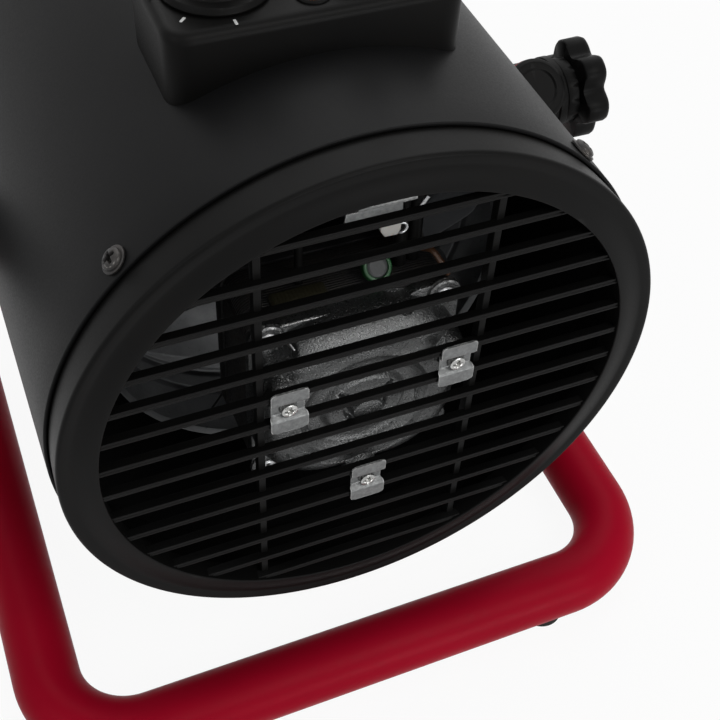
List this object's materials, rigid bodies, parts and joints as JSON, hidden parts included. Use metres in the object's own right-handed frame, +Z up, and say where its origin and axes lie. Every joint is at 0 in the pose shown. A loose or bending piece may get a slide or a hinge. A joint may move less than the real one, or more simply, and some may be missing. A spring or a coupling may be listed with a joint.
{
  "type": "fan heater",
  "caption": "Round drum fan heater that tilts on a bent tube stand, with a slatted rear inlet, wire front guard, two control knobs and a carrying handle.",
  "frame": {"origin": "on the floor, at the middle of the heater's outline seen from above", "axes": "+Z up; -Y is the front, where the warm air leaves, and +Y the slatted inlet; +X is the left side of a person who stands behind the heater"},
  "size_m": [0.2992, 0.2754, 0.297],
  "materials": {
    "red_paint": "glossy deep red powder coat",
    "black_paint": "satin black paint",
    "black_plastic": "satin black moulding",
    "rubber": "matt black",
    "dark_steel": "black oxide",
    "steel": "turned and zinc plated",
    "zinc_sheet": "galvanised sheet",
    "cast_alloy": "dull die casting",
    "blade_alloy": "pressed sheet",
    "element_sheath": "heat-darkened tube",
    "white_nylon": "off-white moulding",
    "amber_lens": "amber lens",
    "brown_wire": "brown insulation",
    "green_wire": "green insulation"
  },
  "bodies": {
    "stand": {"stand_tube": "red_paint", "tube_cap_left": "black_plastic", "tube_cap_right": "black_plastic", "pivot_block_left": "black_plastic", "pivot_block_right": "black_plastic", "foot_front_left": "rubber", "foot_front_right": "rubber", "foot_rear_left": "rubber", "foot_rear_right": "rubber"},
    "drum": {"drum_shell": "black_paint", "rear_grille": "black_plastic", "front_ring": "black_plastic", "front_guard": "dark_steel", "rear_screw_upper_left": "dark_steel", "rear_screw_upper_right": "dark_steel", "rear_screw_lower_left": "dark_steel", "rear_screw_lower_right": "dark_steel", "front_screw_upper_left": "dark_steel", "front_screw_upper_right": "dark_steel", "front_screw_lower_left": "dark_steel", "front_screw_lower_right": "dark_steel", "carry_handle": "black_plastic", "handle_screw_rear": "steel", "handle_screw_front": "steel", "cable_gland": "black_plastic", "pivot_boss_left": "black_plastic", "pivot_boss_right": "black_plastic", "pivot_nut_left": "steel", "pivot_nut_right": "steel", "control_housing": "black_plastic", "control_bracket": "zinc_sheet", "mode_switch": "black_plastic", "thermostat": "black_plastic", "pilot_lamp": "amber_lens", "terminal_block": "white_nylon", "motor_lead": "brown_wire", "earth_lead": "green_wire", "motor_rear_bell": "cast_alloy", "motor_stator": "dark_steel", "motor_front_bell": "dark_steel", "clip_left": "zinc_sheet", "clip_right": "zinc_sheet", "clip_bottom": "zinc_sheet", "clip_screw_left": "zinc_sheet", "clip_screw_right": "zinc_sheet", "clip_screw_bottom": "zinc_sheet", "air_duct": "zinc_sheet", "heating_element_1": "element_sheath", "heating_element_2": "element_sheath", "element_plate": "zinc_sheet", "element_spider": "zinc_sheet", "thermal_cutout": "steel"},
    "fan": {"motor_rotor": "steel", "impeller": "blade_alloy"},
    "mode_dial": {"mode_knob": "black_plastic"},
    "thermostat_dial": {"thermostat_knob": "black_plastic"},
    "left_clamp": {"clamp_knob_left": "black_plastic", "clamp_bolt_left": "steel"},
    "right_clamp": {"clamp_knob_right": "black_plastic", "clamp_bolt_right": "steel"}
  },
  "joints": [
    {"name": "drum_tilt", "type": "hinge", "parent": "stand", "child": "drum", "pos_m": [0, -0.01875, 0.146], "axis": [-1, 0, 0], "range_deg": [-20, 20]},
    {"name": "fan_spin", "type": "hinge", "parent": "drum", "child": "fan", "pos_m": [0, 0, 0.142], "axis": [0, -1, 0], "continuous": true},
    {"name": "mode_knob_turn", "type": "hinge", "parent": "drum", "child": "mode_dial", "pos_m": [0.024, 0.04125, 0.258], "axis": [0, 0, -1], "range_deg": [0, 135]},
    {"name": "thermostat_knob_turn", "type": "hinge", "parent": "drum", "child": "thermostat_dial", "pos_m": [-0.024, 0.04125, 0.258], "axis": [0, 0, -1], "range_deg": [0, 270]},
    {"name": "left_clamp_turn", "type": "hinge", "parent": "drum", "child": "left_clamp", "pos_m": [0.1336, -0.01875, 0.146], "axis": [1, 0, 0], "range_deg": [0, 360]},
    {"name": "right_clamp_turn", "type": "hinge", "parent": "drum", "child": "right_clamp", "pos_m": [-0.1336, -0.01875, 0.146], "axis": [-1, 0, 0], "range_deg": [0, 360]}
  ]
}
